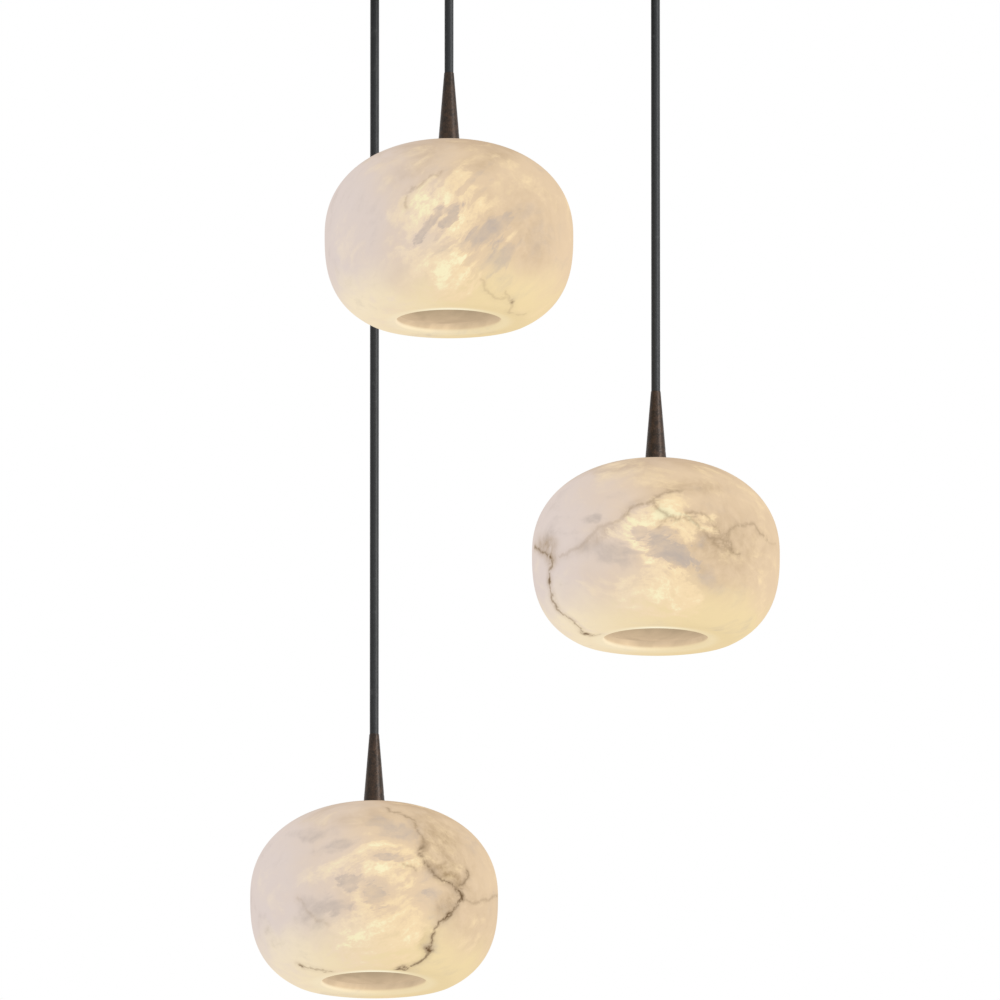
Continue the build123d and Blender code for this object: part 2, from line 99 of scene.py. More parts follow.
# Veins of the stone that face the camera: depth of colour, width in millimetres, and the pixels of the
# photograph that the vein passes
VEINS = {
    "high": [
        (0.20, 0.7, [(481, 279), (484, 287), (490, 294), (499, 299.5), (511, 301.5), (512, 307.5),
                     (509, 314)]),
        (0.55, 1.1, [(511, 300.5), (512, 303)]),
        (0.20, 0.6, [(505.5, 291.5), (508, 296), (511, 301)]),
        (0.24, 0.7, [(442, 171), (435, 175.5), (424, 180), (412, 187), (407, 193.5), (406.5, 207.5)]),
        (0.16, 0.6, [(509, 314), (517, 314.5), (526, 313.5)]),
    ],
    "mid": [
        (0.20, 0.9, [(559.5, 557), (574, 549), (586.5, 541), (593.5, 534.5), (606, 525), (618.5, 520.5),
                     (622, 517)]),
        (0.36, 0.9, [(622, 517), (629.5, 509), (643.5, 503.5), (651, 501.5), (654.5, 497), (663, 493.5),
                     (681, 491)]),
        (0.36, 0.9, [(652.5, 501.5), (656, 506), (665, 513), (667, 516), (683, 515), (689, 512.5),
                     (693.5, 511.5)]),
        (0.30, 0.7, [(667, 516), (665, 522), (658, 527.5)]),
        (0.34, 0.9, [(683, 515), (688, 520.5), (697, 524), (704.5, 531), (711.5, 538), (720.5, 538),
                     (727.5, 540)]),
        (0.40, 0.8, [(727.5, 540), (731, 547), (740, 554)]),
        (0.30, 0.8, [(693.5, 511.5), (704.5, 515), (713, 522), (717, 529), (720.5, 534.5), (727.5, 538)]),
        (0.32, 0.9, [(727.5, 538), (729.5, 531), (736.5, 525.5), (747, 524), (756, 526.5), (763, 534.5),
                     (767, 540)]),
        (0.15, 0.6, [(767, 540), (776, 543.5)]),
        (0.30, 0.7, [(711.5, 538), (716, 545), (722, 549)]),
        (0.30, 0.7, [(720.5, 538), (724, 544), (730, 551), (733, 553)]),
        (0.60, 0.9, [(534.5, 547), (545.5, 552.5), (551.5, 558)]),
        (0.58, 0.7, [(551.5, 558), (550.5, 568.5), (549, 581), (550.5, 590), (551.5, 599), (556, 604.5),
                     (561.5, 613)]),
        (0.90, 1.1, [(550.5, 556), (552, 560)]),
        (0.90, 1.0, [(549, 580), (549.5, 583)]),
        (0.45, 0.7, [(561.5, 613), (570.5, 618.5), (577.5, 625.5), (581, 632), (587.5, 634.5)]),
        (0.85, 1.5, [(584, 634), (588, 635)]),
        (0.25, 0.7, [(587.5, 634.5), (600.5, 634)]),
    ],
    "low": [
        (0.40, 0.9, [(387, 807.5), (403, 815), (411, 818.5), (415.5, 824), (418, 832), (423.5, 840),
                     (423.5, 847)]),
        (0.60, 1.0, [(423.5, 847), (419, 850.5), (419, 855), (424.5, 864), (431.5, 871), (438.5, 877.5)]),
        (0.76, 0.8, [(438.5, 877.5), (447.5, 882), (453, 885.5), (458, 892.5), (462, 899), (458, 905),
                     (452, 912)]),
        (0.95, 1.4, [(458, 891), (462, 899)]),
        (0.78, 0.8, [(452, 912), (447.5, 917.5), (440.5, 921), (435, 928), (431.5, 935.5), (431.5, 942.5)]),
        (0.95, 1.3, [(446, 917), (451, 913)]),
        (0.74, 0.8, [(431.5, 942.5), (429, 948), (430.5, 952.5), (424.5, 958.5), (413.5, 965),
                     (397.5, 969.5)]),
        (0.95, 1.3, [(427, 948), (431, 951)]),
        (0.85, 1.4, [(397.5, 969.5), (404, 967)]),
        (0.55, 0.9, [(458, 889), (464.5, 882), (468, 877.5), (467, 871)]),
        (0.30, 0.8, [(462, 899), (469, 901.5), (479.5, 902.5), (490.5, 899), (497.5, 896)]),
        (0.38, 0.7, [(299.5, 965.5), (306.5, 967.5), (319, 969.5), (331.5, 972)]),
        (0.70, 1.1, [(299.5, 965), (302, 966.5)]),
        (0.30, 0.7, [(403, 864), (411, 866), (415.5, 871)]),
        (0.16, 0.8, [(297.5, 898), (306.5, 910.5), (317, 921), (328, 924.5)]),
    ],
}

# Patches of the stone that face the camera, each as the pixel of its middle, its half length and
# half width in pixels, its tilt in degrees and its strength. Grey flecks with a crisp edge:
FLECKS = {
    "high": [
        (421.5, 234, 13, 3.6, 56, 0.66),
        (433, 220, 14, 4, 50, 0.75),
        (450.5, 217.5, 15, 4.5, 45, 0.75),
        (449, 208, 9, 1.5, 35, 0.55),
        (464, 188, 11, 3, 43, 0.45),
        (484, 169, 16, 2, 40, 0.30),
        (478, 195, 17, 2, 46, 0.35),
        (488, 232, 27, 9, 33, 0.55),
        (475, 229, 6, 2, 45, 0.60),
        (497, 260, 25, 9, 40, 0.40),
        (468, 261, 8, 2.8, 40, 0.45),
        (445, 247, 13, 2, 30, 0.40),
        (438, 236, 6, 2, 50, 0.35),
    ],
    "mid": [
        (640, 532, 7, 5, 0, 0.65),
        (664, 531.5, 10, 4, 0, 0.60),
        (630, 554, 6, 5, 0, 0.45),
        (669, 550, 27, 11, -28, 0.80),
    ],
    "low": [
        (350, 883, 11, 8, -15, 0.75),
        (389, 857, 15, 4, -8, 0.70),
        (375, 894, 14, 9, -35, 0.80),
        (431, 892.5, 8, 4, 0, 0.45),
        (338, 904, 12, 9, 12, 0.52),
    ],
}

# Grey clouds with a soft ragged edge:
CLOUDS = {
    "high": [
        (538, 250, 30, 16, 55, 0.30),
        (397.5, 275, 13, 6, 50, 0.40),
        (424, 282, 9, 7, 60, 0.35),
        (512, 216, 22, 8, 30, 0.30),
    ],
    "mid": [
        (670, 551, 28, 12, -28, 0.65),
        (616, 554, 29, 13, -5, 0.60),
        (708, 578, 16, 12, -40, 0.55),
        (702, 541, 14, 8, -50, 0.60),
        (592, 519, 8, 5, 0, 0.65),
        (597, 580, 17, 10, -20, 0.35),
        (614, 495, 14, 6, 20, 0.30),
    ],
    "low": [
        (326, 905, 25, 13, 8, 0.50),
        (376, 890, 16, 13, 15, 0.55),
        (390, 857, 18, 6, -8, 0.50),
        (395, 830, 26, 10, -18, 0.74),
        (315, 834, 22, 8, 8, 0.55),
        (336, 847, 30, 6, 16, 0.50),
        (431, 892, 12, 8, 0, 0.45),
        (361, 873, 11, 7, 15, 0.45),
        (310, 917, 18, 10, -40, 0.40),
        (424, 876, 13, 6, 20, 0.45),
    ],
}

# Tan haze with a soft edge, darkest beside the veins:
HAZES = {
    "high": [
        (417, 166, 32, 10, 30, 0.18),
        (488, 160, 40, 11, 18, 0.22),
        (520, 215, 44, 46, 70, 0.17),
        (535, 252, 24, 20, 70, 0.14),
    ],
    "mid": [
        (547, 545, 10, 11, 0, 0.60),
        (552, 560, 7, 7, 0, 0.35),
        (690, 487, 40, 8, 0, 0.30),
        (725, 545, 46, 48, 0, 0.30),
        (716, 545, 20, 9, -45, 0.32),
        (600, 537, 26, 6, 32, 0.28),
        (636, 503, 18, 5, 28, 0.14),
    ],
    "low": [
        (449, 876, 17, 8, -36, 0.80),
        (430, 864, 10, 7, -45, 0.45),
        (447, 904, 14, 10, 45, 0.50),
        (424, 941, 9, 12, 30, 0.28),
        (424, 846, 6, 9, 0, 0.45),
        (455, 850, 36, 40, 0, 0.18),
        (438, 842, 46, 17, -56, 0.34),
        (470, 915, 28, 34, 0, 0.18),
        (360, 819, 40, 8, 4, 0.18),
    ],
}

# Bright grainy zones with a soft ragged edge, where the light inside shows through:
ZONES = {
    "high": [
        (456.5, 223, 20, 6, 50, 0.80),
        (441, 197, 11, 9, 30, 0.75),
        (427, 205, 14, 9, 50, 0.70),
        (446, 265, 20, 11, 45, 0.55),
        (466, 277, 10, 5, 60, 0.25),
        (477, 249, 20, 4, 40, 0.60),
        (498, 247, 18, 3, 38, 0.45),
        (440, 290, 60, 10, 4, 0.25),
    ],
    "mid": [
        (641, 521, 32, 7, 16, 0.85),
        (705, 519, 13, 9, -40, 0.20),
        (636, 543, 20, 5, -32, 0.85),
        (649, 556, 10, 7, -70, 0.85),
        (686, 531, 18, 5, -45, 0.40),
        (667, 575, 28, 12, -5, 0.40),
        (652, 596, 26, 12, 0, 0.30),
        (612, 592, 26, 8, -25, 0.35),
        (565, 618, 24, 12, -40, 0.30),
    ],
    "low": [
        (382, 866, 29, 7, 6, 0.90),
        (404, 882, 24, 8, -30, 0.50),
        (360, 840, 10, 4, 0, 0.40),
        (384, 845, 24, 5, -20, 0.50),
        (360, 932, 28, 20, 8, 0.50),
        (394, 944, 20, 12, 10, 0.25),
        (357, 896, 9, 5, 30, 0.30),
        (329, 913, 4, 3, 0, 0.60),
        (330, 870, 24, 8, 25, 0.30),
    ],
}

# Region of each shade that glows most, as the pixels round its edge
GLOWS = {
    "high": [
        (462, 165), (435, 176), (417, 184), (406, 195), (392, 214), (398, 234), (397, 249), (404, 263),
        (428, 285), (452, 293), (472, 286), (482, 275), (474, 262), (466, 252), (468, 238), (482, 219),
        (488, 205), (472, 182),
    ],
    "mid": [
        (604, 535), (620, 520), (629, 511), (647, 504), (655, 499), (673, 494), (690, 503), (710, 516),
        (718, 530), (700, 545), (686, 562), (701, 588), (696, 615), (622, 616), (612, 596), (629, 579),
        (642, 562), (626, 545),
    ],
    "low": [
        (319, 869), (335, 857), (371, 841), (394, 841), (409, 850), (411, 864), (424, 878), (418, 886),
        (410, 894), (424, 915), (430, 934), (426, 950), (406, 968), (342, 967), (329, 952), (328, 934),
        (340, 920), (352, 912), (346, 898), (332, 884),
    ],
}

# Direction of the stone's streaks in degrees: outside, inside and along the veins at the back
STREAK_TILT = {"high": 45.0, "mid": -12.0, "low": 14.0}
INSIDE_TILT = 50.0
BACK_VEIN_TILT = 120.0
STREAK_STRETCH = (4.0, 1.4, 1.0)

# Where the noise of each shade starts, and the random cracks of its veins
STONE_SEED = {"high": (0.31, 0.12, 0.57), "mid": (1.73, 0.44, 2.18), "low": (3.26, 1.91, 0.85)}
CRACK_SEED = {"high": 11, "mid": 23, "low": 37}
CRACK_SPLITS = 3
CRACK_ROUGHNESS = 0.24

# How far past the silhouette the marks that face the camera fade, and the values where none is near
FRONT_FADE = 0.25
FAR_AWAY_MM = 100.0
PATCH_LIMIT = 5.0
GLOW_LIMIT = 30.0

# Ragged edges of the marks, how far the streaks shift them and how soft they are: in pixels for the glow,
# and for the patches as a share of their size
EDGE_SHIFT = {"glow": 22.0, "zone": 2.64, "cloud": 1.76}
EDGE_SOFTNESS = {"glow": 8.0, "zone": 0.7, "cloud": 0.6, "fleck": 0.3}

# Light through the stone where it is plain, and how much each kind of mark changes it; of fibres and grain,
# how much more where the stone is bright, and how much anyway
PLAIN_LIGHT = 0.5
GLOW_LIGHT = 0.24
ZONE_OVER_GLOW = 1.4
GREY_SHADE = 0.5
MOTTLE_LIGHT = 0.45
CLOUDY_LIGHT = 0.9
FIBRE_LIGHT = (0.55, 0.6)
GRAIN_LIGHT = (0.2, 0.12)

# Light at which the stone starts to turn grey, warm and hot, and at which it fully is
GREY_LIGHTS = (0.48, -0.2)
WARM_LIGHTS = (0.5, 0.84)
HOT_LIGHTS = (0.8, 1.15)

# Veins: where they and their smoke begin and are full, how far noise shifts them, how much nearer that may
# bring them, and their least width; then the same reach of the core and of the band, in widths of the vein
VEIN_REACH_MM = (9.0, 3.0)
SMOKE_REACH_MM = (6.5, 0.0)
VEIN_JITTER_MM = 0.9
VEIN_STRAY_MM = 1.2
LEAST_VEIN_MM = 0.05
CORE_WIDTHS = (1.0, 0.1)
BAND_WIDTHS = (2.6, 0.3)

# Strength of the marks at the back, which are made up
BACK_ZONE = 0.6
BACK_CLOUD = 0.5
BACK_VEIN = 0.5

# Levels from the top of a shade between which its colour changes, with painted shade at the crown and
# painted light at the foot; the same from left to right, and how far soft noise shifts these places
CROWN_SHADE_LEVELS = (-0.026, -0.003)
FOOT_LIGHT_LEVELS = (-0.094, -0.13)
# Painted light round the bulb inside
BULB_LIGHT_LEVELS = (-0.1, -0.05)
FLOOR_LEVELS = (-0.104, -0.122)
MOUTH_LEVELS = (-0.124, -0.134)
LEFT_TO_RIGHT = (-0.085, 0.025)
TINT_DRIFT = 0.05
INSIDE_DRIFT = 0.012

# Share of the stone's colour that it gives off by itself, and that it reflects; and of the bulb's glass
GLOW_SHARE = 0.88
BODY_SHARE = 0.14
BULB_GLOW_SHARE = 0.66
BULB_BODY_SHARE = 0.2

# Depth of the relief of the stone, of the bronze and of the cord's braid
STONE_RELIEF = 0.0004
BRONZE_RELIEF = 0.00012
BRAID_RELIEF = 0.00012

# Plain finishes of the slots: two close colours, waves of their noise to the metre, roughness and relief
FINISHES = {
    "black_rubber": ((24, 24, 24), (36, 35, 34), 900.0, 0.7, 0.00005),
    "zinc_steel": ((176, 178, 180), (205, 206, 207), 700.0, 0.35, 0.00002),
    "dark_steel": ((56, 52, 50), (84, 78, 74), 900.0, 0.42, 0.00004),
    "brass": ((196, 160, 92), (222, 188, 118), 800.0, 0.3, 0.00002),
    "ceramic": ((228, 224, 214), (240, 237, 229), 500.0, 0.55, 0.00006),
    "lead_insulation": ((196, 192, 184), (212, 208, 200), 700.0, 0.5, 0.00004),
    "terminal_plastic": ((226, 223, 214), (236, 233, 225), 600.0, 0.5, 0.00004),
    "bulb_base": ((186, 183, 176), (202, 199, 192), 600.0, 0.4, 0.00003),
}

# The metals among them, two of which are brushed along Z
BRUSHED = (1, 1, 0.06)
METALS = {
    "zinc_steel": {"stretch": BRUSHED, "Metallic": 1.0},
    "dark_steel": {"Metallic": 0.9},
    "brass": {"stretch": BRUSHED, "Metallic": 1.0},
}


def srgb(red, green, blue):
    """Colour as seen on a screen, 0 to 255, as the linear values that the shaders take."""
    linear = []
    for value in (red / 255, green / 255, blue / 255):
        linear.append(value / 12.92 if value <= 0.04045 else ((value + 0.055) / 1.055) ** 2.4)
    return (*linear, 1.0)


# Colours of the stone on its left and on its right, partly its own tint and partly painted light, cool on
# the left and warm on the right; the crown's darker colours are painted shade, the foot's lighter ones
# painted light
BODY_COLORS = (srgb(226, 212, 205), srgb(225, 200, 168))
FOOT_LIGHT_COLORS = (srgb(246, 230, 202), srgb(236, 214, 168))
CROWN_SHADE_COLORS = (srgb(213, 197, 184), srgb(203, 178, 150))
WARM_COLORS = (srgb(236, 221, 206), srgb(241, 216, 175))

# Colours of the stone's marks and of its inside
HOT_COLOR = srgb(246, 236, 196)
GREY_COLOR = srgb(182, 170, 162)
HAZE_COLOR = srgb(166, 141, 108)
SMOKE_COLOR = srgb(176, 154, 128)
BAND_COLOR = srgb(160, 138, 112)
CORE_COLOR = srgb(98, 74, 46)
# Colour of the painted highlight on the lip
LIP_HIGHLIGHT_COLOR = srgb(255, 246, 218)
# Inside: painted light round the bulb, and painted shade lower down
BULB_LIGHT_COLOR = srgb(232, 211, 180)
INSIDE_SHADE_COLOR = srgb(172, 153, 126)
FLOOR_COLOR = srgb(204, 181, 151)
MOUTH_COLOR = srgb(232, 206, 168)


# Objects and camera

def add_object(name, data):
    """New object in the scene."""
    made = bpy.data.objects.new(name, data)
    bpy.context.scene.collection.objects.link(made)
    return made


def aim(made, direction):
    """Turns a camera or a light to face along a direction."""
    made.rotation_mode = "QUATERNION"
    made.rotation_quaternion = direction.to_track_quat("-Z", "Y")


def camera_axes():
    """Right, up and forward of the camera that matches the photograph."""
    forward = Vector((0, math.cos(CAMERA_BELOW), math.sin(CAMERA_BELOW)))
    up = Vector((0, -math.sin(CAMERA_BELOW), math.cos(CAMERA_BELOW)))
    return Vector((1, 0, 0)), up, forward


def camera_place():
    """Where the camera stands."""
    return CAMERA_TARGET - camera_axes()[2] * CAMERA_DISTANCE


def add_camera():
    """Camera at the photograph's viewing angle."""
    data = bpy.data.cameras.new("camera")
    data.sensor_width = SENSOR_WIDTH
    data.lens = SENSOR_WIDTH * CAMERA_DISTANCE / PHOTO_WIDTH
    data.clip_end = 2 * CAMERA_DISTANCE
    camera = add_object("camera", data)
    camera.location = camera_place()
    aim(camera, camera_axes()[2])
    bpy.context.scene.camera = camera


def photo_ray(pixel):
    """Direction from the camera through one pixel of the photograph."""
    right, up, _ = camera_axes()
    size = PHOTO_WIDTH / PHOTO_PIXELS
    across = (pixel[0] - PHOTO_PIXELS / 2) * size
    above = (PHOTO_PIXELS / 2 - pixel[1]) * size
    return (CAMERA_TARGET + right * across + up * above - camera_place()).normalized()


def photo_pixels(points):
    """Pixels of the photograph at which points of the shared frame appear, as two arrays."""
    right, up, forward = (np.array(axis) for axis in camera_axes())
    away = points - np.array(camera_place())
    scale = CAMERA_DISTANCE / (away @ forward) * PHOTO_PIXELS / PHOTO_WIDTH
    return PHOTO_PIXELS / 2 + (away @ right) * scale, PHOTO_PIXELS / 2 - (away @ up) * scale


# Shader helpers

def feed(tree, socket, value):
    """Links an output to a socket, or sets the socket's own value."""
    if isinstance(value, bpy.types.NodeSocket):
        tree.links.new(value, socket)
    else:
        socket.default_value = value


def node(tree, kind, inputs, **settings):
    """New shader node with its settings, inputs linked or set."""
    made = tree.nodes.new(kind)
    for key, value in settings.items():
        setattr(made, key, value)
    for key, value in inputs.items():
        feed(tree, made.inputs[key], value)
    return made


def calc(tree, operation, *values):
    """Result of a sum on numbers."""
    return node(tree, "ShaderNodeMath", dict(enumerate(values)), operation=operation).outputs[0]


def times(tree, first, second):
    """Product of two numbers."""
    return calc(tree, "MULTIPLY", first, second)


def ramp(tree, value, slope, base):
    """Value times a slope, plus a base."""
    return calc(tree, "MULTIPLY_ADD", value, slope, base)


def centred(tree, value):
    """Noise about 0 instead of about 0.5."""
    return calc(tree, "SUBTRACT", value, 0.5)


def remainder(tree, share):
    """What a share leaves of the whole."""
    return calc(tree, "SUBTRACT", 1.0, share)


def vector_calc(tree, operation, *values):
    """Result of a sum on vectors."""
    made = node(tree, "ShaderNodeVectorMath", dict(enumerate(values)), operation=operation)
    return made.outputs["Value" if operation == "LENGTH" else "Vector"]


def scaled(tree, vector, factor):
    """Vector or colour times a number."""
    made = node(tree, "ShaderNodeVectorMath", {0: vector, "Scale": factor}, operation="SCALE")
    return made.outputs["Vector"]


def rise(tree, value, low, high):
    """Smooth step from 0 at low to 1 at high; low may be the larger."""
    inputs = {"Value": value, "From Min": low, "From Max": high}
    return node(tree, "ShaderNodeMapRange", inputs, interpolation_type="SMOOTHSTEP").outputs[0]


def noise(tree, vector, waves, detail=3.0, roughness=0.55):
    """Cloudy value about 0.5, with so many waves to the metre."""
    inputs = {"Vector": vector, "Scale": waves, "Detail": detail, "Roughness": roughness}
    return node(tree, "ShaderNodeTexNoise", inputs).outputs[0]


def wander(tree, vector, waves, reach, detail):
    """Small random shift of about this reach, different from place to place."""
    inputs = {"Vector": vector, "Scale": waves, "Detail": detail}
    color = node(tree, "ShaderNodeTexNoise", inputs).outputs["Color"]
    return scaled(tree, vector_calc(tree, "SUBTRACT", color, (0.5, 0.5, 0.5)), 2 * reach)


def mixed(tree, share, first, second):
    """Colour between two others."""
    made = node(tree, "ShaderNodeMix", {0: share, 6: first, 7: second}, data_type="RGBA")
    return made.outputs[2]


def attribute(tree, name, output="Fac"):
    """Value stored on the mesh's points."""
    return node(tree, "ShaderNodeAttribute", {}, attribute_name=name).outputs[output]


def own_place(tree):
    """Place on the piece in its own frame, so that patterns move with it."""
    return node(tree, "ShaderNodeTexCoord", {}).outputs["Object"]


def new_material(name, **values):
    """Material with one surface shader, whose plain values are given by name."""
    material = bpy.data.materials.new(name)
    material.use_nodes = True
    tree = material.node_tree
    shader = tree.nodes["Principled BSDF"]
    for key, value in values.items():
        shader.inputs[key.replace("_", " ")].default_value = value
    return material, tree, shader.inputs


def bump(tree, height, reach, normal_socket):
    """Fine relief of this depth in metres."""
    relief = node(tree, "ShaderNodeBump", {"Height": height, "Distance": reach, "Strength": 1.0})
    tree.links.new(relief.outputs["Normal"], normal_socket)


# Stone

def stone_tint(tree, place, soft):
    """Colours of the plain stone, pinkish left and peach right with painted light and shade, and of the
    stone that glows.
    """
    parts = node(tree, "ShaderNodeSeparateXYZ", {0: place})
    drift = ramp(tree, soft, TINT_DRIFT, -TINT_DRIFT / 2)
    # Left to right the tint is partly the stone's own and partly painted light, cool on the left, warm on
    # the right
    across = rise(tree, calc(tree, "ADD", parts.outputs["X"], drift), *LEFT_TO_RIGHT)
    level = calc(tree, "ADD", parts.outputs["Z"], drift)
    body = mixed(tree, across, *BODY_COLORS)
    foot = mixed(tree, across, *FOOT_LIGHT_COLORS)
    crown = mixed(tree, across, *CROWN_SHADE_COLORS)
    # Lighter colour at the foot: painted light
    color = mixed(tree, rise(tree, level, *FOOT_LIGHT_LEVELS), body, foot)
    # Darker colour at the crown: painted shade
    color = mixed(tree, rise(tree, level, *CROWN_SHADE_LEVELS), color, crown)
    return color, mixed(tree, across, *WARM_COLORS)


def stone_streaks(tree, drifting, tilt):
    """Place drawn out along the stone's streaks, for noise that runs with them."""
    inputs = {"Vector": drifting, "Rotation": (0, -math.radians(tilt), 0), "Scale": STREAK_STRETCH}
    return node(tree, "ShaderNodeMapping", inputs, vector_type="TEXTURE").outputs[0]


def at_back(tree):
    """Share of the made-up marks: 0 where the stone faces the camera, 1 at its back."""
    return remainder(tree, attribute(tree, "front"))


def ragged(tree, name, shift, wild):
    """Share of the marked patches: the depth inside their edge, shifted by noise; wild ones at the back."""
    edge = calc(tree, "ADD", attribute(tree, name), shift)
    share = rise(tree, edge, -EDGE_SOFTNESS[name], EDGE_SOFTNESS[name])
    share = times(tree, share, attribute(tree, f"{name}_strength"))
    return calc(tree, "MAXIMUM", share, wild)


def stone_glow(tree, along, wisps):
    """Shares of the region that glows and of its brightest zones."""
    wild = times(tree, rise(tree, noise(tree, along, waves=22.0, detail=4.0), 0.5, 0.6), at_back(tree))
    glow = ragged(tree, "glow", times(tree, wisps, EDGE_SHIFT["glow"]), wild)
    wild = times(tree, rise(tree, noise(tree, along, waves=40.0, detail=4.0), 0.5, 0.66), wild)
    zone = ragged(tree, "zone", times(tree, wisps, EDGE_SHIFT["zone"]), times(tree, wild, BACK_ZONE))
    return glow, zone


def stone_clouds(tree, drifting, along, wisps, soft, zone):
    """Share of the soft grey clouds, which keep off the brightest zones."""
    billows = ramp(tree, noise(tree, drifting, waves=75.0, detail=3.0, roughness=0.5), 2.6, -1.3)
    shift = ramp(tree, wisps, EDGE_SHIFT["cloud"], billows)
    wild = times(tree, rise(tree, noise(tree, along, waves=55.0, detail=4.0), 0.56, 0.64), at_back(tree))
    cloud = ragged(tree, "cloud", shift, times(tree, wild, BACK_CLOUD))
    cloud = times(tree, cloud, ramp(tree, soft, 1.4, 0.3))
    return times(tree, cloud, ramp(tree, zone, -0.8, 1.0))


def stone_flecks(tree, seeded, along):
    """Share of the crisp grey flecks."""
    shards = ramp(tree, noise(tree, along, waves=300.0, detail=4.0, roughness=0.65), 2.6, -1.1)
    shift = ramp(tree, centred(tree, noise(tree, seeded, waves=130.0)), 2.0, shards)
    return ragged(tree, "fleck", shift, 0.0)


def stone_light(tree, seeded, drifting, name, soft):
    """How much of the light inside comes through."""
    along = stone_streaks(tree, drifting, STREAK_TILT[name])
    wisps = centred(tree, noise(tree, along, waves=130.0, detail=5.0, roughness=0.6))
    grain = centred(tree, noise(tree, seeded, waves=520.0, detail=3.0, roughness=0.7))
    mottle = centred(tree, noise(tree, seeded, waves=170.0, detail=3.0, roughness=0.6))
    glow, zone = stone_glow(tree, along, wisps)
    clouds = stone_clouds(tree, drifting, along, wisps, soft, zone)
    grey = calc(tree, "MAXIMUM", clouds, stone_flecks(tree, seeded, along))
    bright = times(tree, ramp(tree, zone, ZONE_OVER_GLOW, glow), remainder(tree, grey))
    light = ramp(tree, bright, GLOW_LIGHT, PLAIN_LIGHT)
    light = ramp(tree, grey, -GREY_SHADE, light)
    light = ramp(tree, times(tree, mottle, bright), MOTTLE_LIGHT, light)
    light = ramp(tree, wisps, ramp(tree, bright, *FIBRE_LIGHT), light)
    light = ramp(tree, grain, ramp(tree, bright, *GRAIN_LIGHT), light)
    return ramp(tree, centred(tree, soft), CLOUDY_LIGHT, light)


def stone_veins(tree, seeded, soft):
    """Shares of the veins' thin dark core, of the tan band round it and of the grey smoke beside them."""
    jitter = wander(tree, seeded, waves=420.0, reach=VEIN_JITTER_MM, detail=3.0)
    offset = vector_calc(tree, "ADD", jitter, attribute(tree, "vein_offset", "Vector"))
    far = attribute(tree, "vein_far")
    least = calc(tree, "SUBTRACT", far, VEIN_STRAY_MM)
    distance = calc(tree, "MAXIMUM", vector_calc(tree, "LENGTH", offset), least)
    broken = rise(tree, noise(tree, seeded, waves=240.0), 0.2, 0.52)
    depth = times(tree, times(tree, attribute(tree, "vein_depth"), rise(tree, far, *VEIN_REACH_MM)), broken)
    swelling = ramp(tree, noise(tree, seeded, waves=190.0), 1.8, 0.1)
    width = times(tree, attribute(tree, "vein_width"), swelling)
    widths_away = calc(tree, "DIVIDE", distance, calc(tree, "MAXIMUM", width, LEAST_VEIN_MM))
    core = times(tree, rise(tree, widths_away, *CORE_WIDTHS), times(tree, depth, depth))
    band = times(tree, rise(tree, widths_away, *BAND_WIDTHS), depth)
    smoke = times(tree, rise(tree, distance, *SMOKE_REACH_MM), times(tree, soft, depth))
    return core, band, smoke


def wild_veins(tree, drifting):
    """Thin broken veins on the side away from the camera, along the middle line of a drawn-out noise."""
    along = stone_streaks(tree, drifting, BACK_VEIN_TILT)
    middle = centred(tree, noise(tree, along, waves=16.0, detail=4.0, roughness=0.45))
    line = rise(tree, calc(tree, "ABSOLUTE", middle), 0.010, 0.002)
    broken = rise(tree, noise(tree, drifting, waves=30.0), 0.46, 0.62)
    return times(tree, times(tree, times(tree, line, broken), at_back(tree)), BACK_VEIN)


def stone_outside(tree, name, place, seeded, drifting, soft):
    """Colour of the outside: the plain stone, then its haze, grey, glow and veins."""
    color, warm = stone_tint(tree, place, soft)
    fumes = ramp(tree, noise(tree, drifting, waves=110.0, detail=4.0, roughness=0.65), 3.0, -0.6)
    color = mixed(tree, times(tree, attribute(tree, "haze"), fumes), color, HAZE_COLOR)
    light = stone_light(tree, seeded, drifting, name, soft)
    color = mixed(tree, rise(tree, light, *GREY_LIGHTS), color, GREY_COLOR)
    color = mixed(tree, rise(tree, light, *WARM_LIGHTS), color, warm)
    color = mixed(tree, rise(tree, light, *HOT_LIGHTS), color, HOT_COLOR)
    core, band, smoke = stone_veins(tree, seeded, soft)
    color = mixed(tree, smoke, color, SMOKE_COLOR)
    color = mixed(tree, band, color, BAND_COLOR)
    return mixed(tree, calc(tree, "MAXIMUM", core, wild_veins(tree, drifting)), color, CORE_COLOR)


def stone_inside(tree, place, drifting, soft):
    """Colour of the inside: painted light round the bulb, painted shade lower down, light again at the
    mouth's wall.
    """
    level = node(tree, "ShaderNodeSeparateXYZ", {0: place}).outputs["Z"]
    level = calc(tree, "ADD", level, ramp(tree, soft, INSIDE_DRIFT, -INSIDE_DRIFT / 2))
    # Painted shade lower down inside, then painted light round the bulb
    color = mixed(tree, rise(tree, level, *FLOOR_LEVELS), INSIDE_SHADE_COLOR, FLOOR_COLOR)
    color = mixed(tree, rise(tree, level, *BULB_LIGHT_LEVELS), color, BULB_LIGHT_COLOR)
    color = mixed(tree, rise(tree, level, *MOUTH_LEVELS), color, MOUTH_COLOR)
    bands = noise(tree, stone_streaks(tree, drifting, INSIDE_TILT), waves=90.0, detail=4.0)
    return scaled(tree, color, ramp(tree, bands, 0.5, 0.75))


